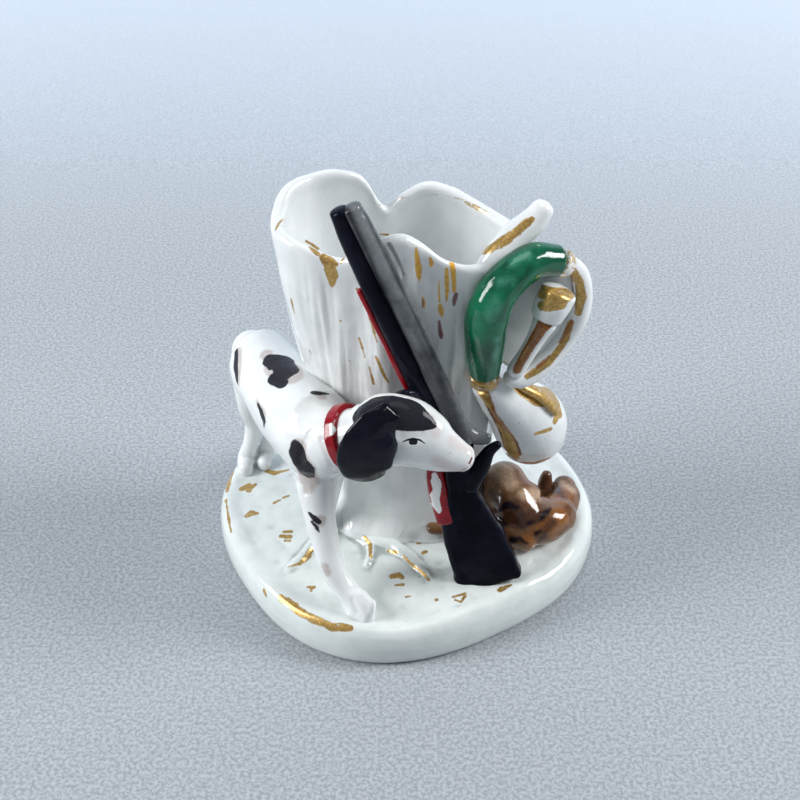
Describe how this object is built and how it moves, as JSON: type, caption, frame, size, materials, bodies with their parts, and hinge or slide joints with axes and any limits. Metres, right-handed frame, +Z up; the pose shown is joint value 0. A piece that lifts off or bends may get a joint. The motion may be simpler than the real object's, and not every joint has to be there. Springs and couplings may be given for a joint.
{
  "type": "porcelain spill vase with hunting group",
  "caption": "Glazed porcelain ornament: an open tree-stump vase on a plinth, with a spotted pointer dog, a double-barrelled gun, a coiled hunting horn and a dead hare.",
  "frame": {"origin": "middle of the plinth's outline, on the surface that its foot ring stands on", "axes": "+Z up, -Y towards the viewer of the show side, +X to that viewer's right"},
  "size_m": [0.1, 0.0982, 0.1108],
  "materials": {
    "white_glaze": "glossy white glaze over porcelain, with worn gilding and enamel spots",
    "black_enamel": "glossy black overglaze enamel",
    "steel_enamel": "satin steel-grey overglaze enamel",
    "red_enamel": "glossy red overglaze enamel, worn to the glaze in places",
    "green_enamel": "glossy mottled green glaze",
    "brown_enamel": "glossy mottled brown glaze",
    "gilding": "worn bright gilding on glazed porcelain"
  },
  "bodies": {
    "root": {"plinth": "white_glaze", "stump_vase": "white_glaze", "branch_stub": "white_glaze", "root_front": "white_glaze", "root_side": "white_glaze", "ground_twig": "white_glaze", "dog_torso": "white_glaze", "dog_head": "white_glaze", "dog_foreleg_right": "white_glaze", "dog_foreleg_left": "white_glaze", "dog_hindleg_right": "white_glaze", "dog_hindleg_left": "white_glaze", "dog_tail": "white_glaze", "horn_bell": "white_glaze", "horn_tube": "white_glaze", "horn_mouthpiece": "white_glaze", "dog_ear_right": "black_enamel", "dog_ear_left": "black_enamel", "gun_stock": "black_enamel", "gun_barrel_left": "black_enamel", "gun_hammer": "black_enamel", "gun_barrel_right": "steel_enamel", "gun_lock": "steel_enamel", "dog_collar": "red_enamel", "gun_sling": "red_enamel", "horn_sleeve": "green_enamel", "horn_strap": "green_enamel", "hare_body": "brown_enamel", "hare_head": "brown_enamel", "hare_hindleg": "brown_enamel", "hare_foreleg": "brown_enamel", "hare_tail": "brown_enamel", "hare_ear_left": "brown_enamel", "hare_ear_right": "brown_enamel", "horn_mouthpipe": "brown_enamel", "horn_binding": "gilding", "horn_ferrule_lower": "gilding", "horn_ferrule_upper": "gilding"}
  },
  "joints": []
}
